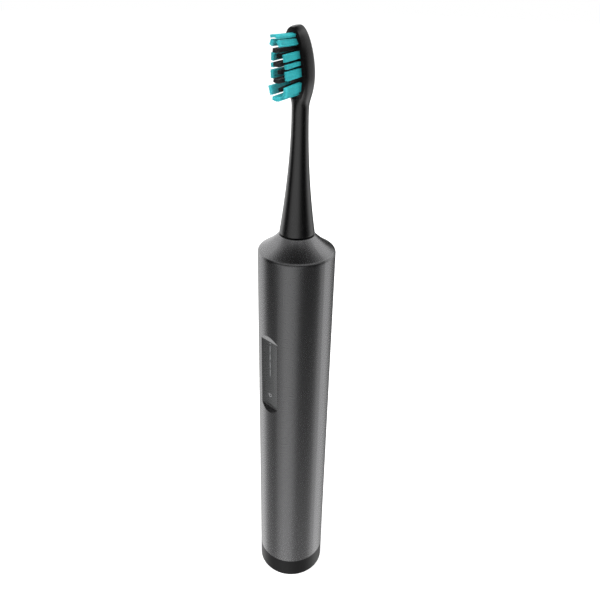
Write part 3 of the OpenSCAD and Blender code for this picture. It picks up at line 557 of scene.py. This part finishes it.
heights = [NECK_LOW + NECK_LENGTH * i / NECK_RINGS for i in range(NECK_RINGS)]
heights += [NECK_TOP + HEAD_LENGTH * math.sin(math.pi / 2 * i / HEAD_RINGS)
            for i in range(HEAD_RINGS)]
print("rings on the moulding:", len(heights))

# %% [markdown]
# The rings are joined into a skin, closed at the tip, and hollowed from below for the metal
# sleeve.

# %% Build the moulding
SLEEVE_RADIUS, SLEEVE_TOP = 2.9, 187.45


def skin(mesh, rings):
    """Joins rings of equal length with quads."""
    rows = [[mesh.verts.new(p) for p in ring] for ring in rings]
    for low, high in zip(rows, rows[1:]):
        for i in range(len(low)):
            j = (i + 1) % len(low)
            mesh.faces.new((low[i], low[j], high[j], high[i]))
    return rows


def circle(radius, z):
    turns = [2 * math.pi * i / SIDES for i in range(SIDES)]
    return [Vector((radius * math.cos(t), radius * math.sin(t), z)) * MM for t in turns]


def to_object(mesh, name, material=None):
    """Turns a finished bmesh into an object of the scene."""
    bmesh.ops.recalc_face_normals(mesh, faces=mesh.faces)
    data = bpy.data.meshes.new(name)
    mesh.to_mesh(data)
    mesh.free()
    piece = bpy.data.objects.new(name, data)
    scene.collection.objects.link(piece)
    if material:
        data.materials.append(material)
    return piece


shell = bmesh.new()
hollow = [circle(SLEEVE_RADIUS, SLEEVE_TOP), circle(SLEEVE_RADIUS, NECK_LOW)]
rows = skin(shell, hollow + [head_ring(z) for z in heights])
shell.faces.new(rows[0])
tip = shell.verts.new(Vector((0, -TIP_IN, TIP)) * MM)
for i in range(SIDES):
    shell.faces.new((rows[-1][i], rows[-1][(i + 1) % SIDES], tip))
moulding = to_object(shell, "head_moulding", head_black)
print("faces before the cut:", len(moulding.data.polygons))

# %% [markdown]
# The flat face for the bristles is cut off with a boolean, as a mould would leave it. Its own
# frame has x across the face, y up it and z out of it, and the bristles will use that frame too.
# The cutter is a block with a round lower end. A narrow bevel then rounds the face's edge so
# that it catches light.

# %% Cut the face and round its edge
FACE_FRAME = (Matrix.Translation(Vector((0, -FACE_IN, FACE_Z)) * MM)
              @ Matrix.Rotation(math.pi / 2 + FACE_TILT, 4, "X"))
CUT_RADIUS, CUT_DROP, CUT_REACH, CUT_STEPS = 5.3, 3.4, 20.0, 24
EDGE_WIDTH, EDGE_STEPS, EDGE_ANGLE = 0.22, 3, math.radians(38)
SMOOTH_ANGLE = math.radians(30)

arc = [math.pi + math.pi * i / CUT_STEPS for i in range(CUT_STEPS + 1)]
outline = [(CUT_RADIUS * math.cos(t), -CUT_DROP + CUT_RADIUS * math.sin(t)) for t in arc]
outline += [(CUT_RADIUS, CUT_REACH), (-CUT_RADIUS, CUT_REACH)]
block = bmesh.new()
sides = skin(block, [[FACE_FRAME @ (Vector((x, v, out)) * MM) for x, v in outline]
                     for out in (0, CUT_REACH)])
for side in sides:
    block.faces.new(side)
cutter = to_object(block, "face_cutter")

cut = moulding.modifiers.new("cut_face", "BOOLEAN")
cut.operation, cut.object, cut.solver = "DIFFERENCE", cutter, "EXACT"
edge = moulding.modifiers.new("round_edge", "BEVEL")
edge.width, edge.segments = EDGE_WIDTH * MM, EDGE_STEPS
edge.limit_method, edge.angle_limit = "ANGLE", EDGE_ANGLE


def settle(piece):
    """Applies the modifiers to the mesh, and shades it smooth up to SMOOTH_ANGLE."""
    graph = bpy.context.evaluated_depsgraph_get()
    solid = bpy.data.meshes.new_from_object(piece.evaluated_get(graph))
    solid.name = piece.name
    piece.modifiers.clear()
    piece.data = solid
    solid.shade_smooth()
    solid.set_sharp_from_angle(angle=SMOOTH_ANGLE)


settle(moulding)
bpy.data.objects.remove(cutter)
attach(moulding, "brush_head")
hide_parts("brush_body")
print("moulding faces:", len(moulding.data.polygons))

# %% [markdown]
# ## Bristles
# A tuft is a bundle of nylon strands folded over a staple and pressed into the plate. Hair
# particles would be quick, but a library part needs real meshes, so each strand is a thin tube
# with five sides that runs from its socket to a rounded tip, with a slight bow of its own.
# A seeded random source gives the same bows each time the script runs.

# %% Grow a strand
STRAND_RADIUS, STRAND_SIDES, ROOT = 0.082, 5, -0.9
BOW = 0.018
# Where a strand's waist is as a share of its length, and the last stretch that tapers
WAIST, TAPER = 0.45, 0.07
SHOULDER_WIDTH, TIP_WIDTH = 0.96, 0.55
dice = random.Random(7)


def grow_strand(mesh, root, tip, length):
    """One strand from its root through a slight bow to a tapered tip."""
    bow = Vector((dice.gauss(0, BOW), dice.gauss(0, BOW), 0))
    spin = dice.uniform(0, math.pi)
    corners = [spin + 2 * math.pi * i / STRAND_SIDES for i in range(STRAND_SIDES)]
    rings = []
    for w, width in ((ROOT, 1.0), (length * WAIST, 1.0), (length - TAPER, SHOULDER_WIDTH),
                     (length, TIP_WIDTH)):
        along = max(0.0, w) / length
        middle = root.lerp(tip, along) + bow * math.sin(math.pi * along)
        radius = STRAND_RADIUS * width
        rings.append([FACE_FRAME @ (Vector((middle.x + radius * math.cos(a),
                                            middle.y + radius * math.sin(a), w)) * MM)
                      for a in corners])
    rows = skin(mesh, rings)
    mesh.faces.new(rows[-1])


print("a strand is", 2 * STRAND_RADIUS, "mm across")

# %% [markdown]
# The strands of a tuft stand in a close hexagonal pattern and spread a little towards their
# tips, and no two have quite the same lean or length. A tuft's slot in the plate is straight, or
# bent one way or the other.

# %% Grow a tuft
STRAND_PITCH, ROW_STEP = 0.195, 0.87
BEND_RADIUS = 4.6
SHORTER, LONGER = -0.07, 0.03
TIP_SPREAD, TIP_JITTER = 1.03, 0.02


def bent(p, q, bend):
    """A place in a tuft's slot, which is straight, or curved one way or the other."""
    if bend == 0:
        return p, q
    turn = p / BEND_RADIUS
    reach = BEND_RADIUS + bend * q
    return reach * math.sin(turn), bend * (reach * math.cos(turn) - BEND_RADIUS)


def grow_tuft(mesh, place, size, length, lean=(0, 0), turn=0.0, bend=0):
    """A tuft at place on the face, with strands in a hexagonal pattern over its size."""
    wide, high = (side - 2 * STRAND_RADIUS for side in size)
    rows = max(2, round(high / (STRAND_PITCH * ROW_STEP)) + 1)
    columns = max(2, round(wide / STRAND_PITCH) + 1)
    c, s = math.cos(turn), math.sin(turn)
    made = 0
    for j in range(rows):
        q = (j / (rows - 1) - 0.5) * high
        for i in range(columns - j % 2):
            p = ((i + 0.5 * (j % 2)) / (columns - 1) - 0.5) * wide
            x, v = bent(p, q, bend)
            root = Vector((place[0] + c * x - s * v, place[1] + s * x + c * v, 0))
            tall = length + dice.uniform(SHORTER, LONGER)
            shift = Vector((tall * math.tan(lean[0]), tall * math.tan(lean[1]), 0))
            out = Vector(((root.x - place[0]) * TIP_SPREAD + place[0],
                          (root.y - place[1]) * TIP_SPREAD + place[1], 0))
            jitter = Vector((dice.gauss(0, TIP_JITTER), dice.gauss(0, TIP_JITTER), 0))
            grow_strand(mesh, root, out + shift + jitter, tall)
            made += 1
    return made


print("strand pitch in mm:", STRAND_PITCH)

# %% [markdown]
# Five teal tufts stand along each side of the plate and one bent tuft at each end. Six black
# tufts fill the middle, bent and straight in turn. Every place is a share of the planted field,
# and every length a share of a plain bristle's, so the rows read like a planting plan.

# %% Write the planting plan
FIELD_HALF, FIELD_LENGTH, BRISTLE, SIDE_TUFT_WIDTH = 2.45, 16.4, 6.5, 1.25
# Teal sides: x share, v share, height share, length share, lean out, lean up, turn in degrees
SIDE_SHARES = [(0.64, 0.528, 0.108, 1.15, 0, 6, -28), (0.93, 0.312, 0.131, 1.00, 3, 0, -9),
               (1.01, 0.160, 0.073, 0.99, 5, 0, -4), (1.07, -0.002, 0.152, 1.02, 5, 0, -3),
               (0.92, -0.269, 0.170, 1.19, 7, -2, 12)]
# Ends and middle: v share, width share, height share, length share, lean up, bend
END_SHARES = [(0.652, 0.195, 0.052, 1.20, 6, 1), (-0.409, 0.210, 0.068, 1.31, -1.5, -1)]
BLACK_SHARES = [(0.430, 0.155, 0.070, 1.14, 1, -1), (0.325, 0.085, 0.066, 1.00, 2, 0),
                (0.190, 0.185, 0.070, 1.12, 0, -1), (0.050, 0.085, 0.066, 1.00, 0, 0),
                (-0.100, 0.185, 0.070, 1.19, 0, -1), (-0.250, 0.085, 0.066, 1.02, -2, 0)]
print("tufts planned:", 2 * len(SIDE_SHARES) + len(END_SHARES + BLACK_SHARES))

# %% [markdown]
# The tufts in the middle lean only up or down. Those at the sides lean outwards too, mirrored
# from left to right. All are planted in a fixed order, because each strand takes the next
# numbers from the same random source.

# %% Plant the field
def plant_middle(mesh, rows):
    """Plants tufts on the middle line, and counts their strands."""
    return sum(grow_tuft(mesh, (0, v * FIELD_LENGTH), (w * FIELD_LENGTH, h * FIELD_LENGTH),
                         BRISTLE * tall, lean=(0, math.radians(lean)), bend=bend)
               for v, w, h, tall, lean, bend in rows)


def plant_side(mesh, side):
    """Plants the tufts of the left side, -1, or the right side, 1."""
    return sum(grow_tuft(mesh, (side * x * FIELD_HALF, v * FIELD_LENGTH),
                         (SIDE_TUFT_WIDTH, h * FIELD_LENGTH), BRISTLE * tall,
                         lean=(side * math.radians(out), math.radians(up)),
                         turn=-side * math.radians(turn))
               for x, v, h, tall, out, up, turn in SIDE_SHARES)


teal_mesh, black_mesh = bmesh.new(), bmesh.new()
teal_count = plant_middle(teal_mesh, END_SHARES)
teal_count += plant_side(teal_mesh, -1)
teal_count += plant_side(teal_mesh, 1)
black_count = plant_middle(black_mesh, BLACK_SHARES)
print("strands:", teal_count, "teal and", black_count, "black")

# %% [markdown]
# Light gets lost between the strands, so a tuft's roots look darker than its cut ends. A ramp
# along the bristles does that, and a noise of about a strand's size makes neighbours differ.

# %% Write the bristles' finish
# Where the sides' colour starts and ends, as shares of a bristle's height
SIDES_START, SIDES_END = 0.35, 0.88
TALLEST_SHARE = 1.1
STRAND_NOISE_MM, DARKEST = 0.35, 0.82


def bristle_finish(name, shaded_root_colour, side_colour, lit_tip_colour, rough):
    """Nylon, with painted shade at the roots, painted light at the tips, some strands a bit
    darker.
    """
    material = bpy.data.materials.new(name)
    material.use_nodes = True
    tree = material.node_tree
    shader = tree.nodes["Principled BSDF"]
    shader.inputs["Roughness"].default_value = rough
    spot = wire(tree, "ShaderNodeTexCoord").outputs["Object"]
    laid = wire(tree, "ShaderNodeVectorRotate", rotation_type="X_AXIS", Vector=spot,
                Angle=-(math.pi / 2 + FACE_TILT), Center=FACE_FRAME.translation)
    away = wire(tree, "ShaderNodeSeparateXYZ", Vector=laid.outputs[0]).outputs["Z"]
    face = FACE_FRAME.translation.z
    along = wire(tree, "ShaderNodeMapRange", i0=away, i1=face,
                 i2=face + BRISTLE * TALLEST_SHARE * MM).outputs[0]
    colour = ramp(tree, along, [(0, shaded_root_colour), (SIDES_START, side_colour),
                                (SIDES_END, side_colour), (1, lit_tip_colour)])
    noise = wire(tree, "ShaderNodeTexNoise", Vector=spot, Scale=1 / (STRAND_NOISE_MM * MM),
                 Detail=1.0).outputs["Fac"]
    stir = ramp(tree, noise, [(NOISE_LOW, DARKEST), (NOISE_HIGH, 1.0)])
    stirred = wire(tree, "ShaderNodeMix", data_type="RGBA", blend_type="MULTIPLY", i0=1.0,
                   i6=colour, i7=stir).outputs[2]
    tree.links.new(stirred, shader.inputs["Base Color"])
    return material


# Root, side and tip colours: the darker roots are painted shade and the lighter tips painted light
teal_nylon = bristle_finish("teal_nylon", (0.026, 0.38, 0.41), (0.040, 0.55, 0.59),
                            (0.064, 0.66, 0.71), rough=0.36)
black_nylon = bristle_finish("black_nylon", (0.008, 0.008, 0.008), (0.014, 0.014, 0.015),
                             (0.03, 0.03, 0.032), rough=0.32)
print("bristle finishes:", teal_nylon.name, "and", black_nylon.name)

# %% [markdown]
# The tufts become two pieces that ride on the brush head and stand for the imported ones. The
# teal strands are left out of reflections: the satin face under them would show a teal haze
# that the real one doesn't.

# %% Hand over the bristles
def hand_over(mesh, name, material, node, reflected):
    """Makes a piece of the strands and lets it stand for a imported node."""
    tufts = to_object(mesh, name, material)
    tufts.data.shade_smooth()
    tufts.visible_glossy = reflected
    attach(tufts, "brush_head")
    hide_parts(node)
    print(name, "faces:", len(tufts.data.polygons))


hand_over(teal_mesh, "teal_bristles", teal_nylon, "teal_tufts", reflected=False)
hand_over(black_mesh, "black_bristles", black_nylon, "black_tufts",
          reflected=True)

# %% [markdown]
# ## The sign on the key
# A small printed sign marks the power key: the usual broken ring with a bar. It is a thin raised
# print, built from short quads a few hundredths of a millimetre proud of the key. The strip is
# hollow along its middle, so the key's surface there lies a little behind its foremost point.

# %% Print the power sign
SIGN_Z, SIGN_RADIUS, SIGN_LINE = 100.3, 0.68, 0.17
SIGN_PROUD, SIGN_SUNK, HOLLOW = 0.03, 0.02, 0.13
RING_START, RING_SWEEP, RING_STEPS = 38, 284, 28
BAR_LOW, BAR_HIGH = 0.15, 1.15
KEY_FRONT = -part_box("power_key")[0][1] / MM - HOLLOW


def print_line(points, mesh):
    """A flat raised line along points on the key, as a thin closed strip."""
    rings = []
    for k, (x, z) in enumerate(points):
        ahead = points[min(k + 1, len(points) - 1)]
        behind = points[max(k - 1, 0)]
        along = Vector((ahead[0] - behind[0], ahead[1] - behind[1])).normalized()
        side = Vector((-along.y, along.x)) * SIGN_LINE / 2
        rings.append([Vector((x + s * side.x, -KEY_FRONT - out, z + s * side.y)) * MM
                      for s, out in ((-1, -SIGN_SUNK), (1, -SIGN_SUNK),
                                     (1, SIGN_PROUD), (-1, SIGN_PROUD))])
    rows = skin(mesh, rings)
    mesh.faces.new(rows[0])
    mesh.faces.new(rows[-1])


turns = [math.radians(RING_START + RING_SWEEP * i / RING_STEPS) for i in range(RING_STEPS + 1)]
sign_mesh = bmesh.new()
print_line([(SIGN_RADIUS * math.sin(t), SIGN_Z + SIGN_RADIUS * math.cos(t)) for t in turns],
           sign_mesh)
print_line([(0, SIGN_Z + SIGN_RADIUS * end) for end in (BAR_LOW, BAR_HIGH)], sign_mesh)
sign_print = finish("sign_print", (0.46, 0.46, 0.465), rough=0.4, grain_mm=0.1)
sign = to_object(sign_mesh, "power_sign", sign_print)
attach(sign, "key")
print("sign faces:", len(sign.data.polygons))

# %% [markdown]
# ## Close
# The dressed model has to stay inside the box of the imported one.

# %% Finish
print("done")
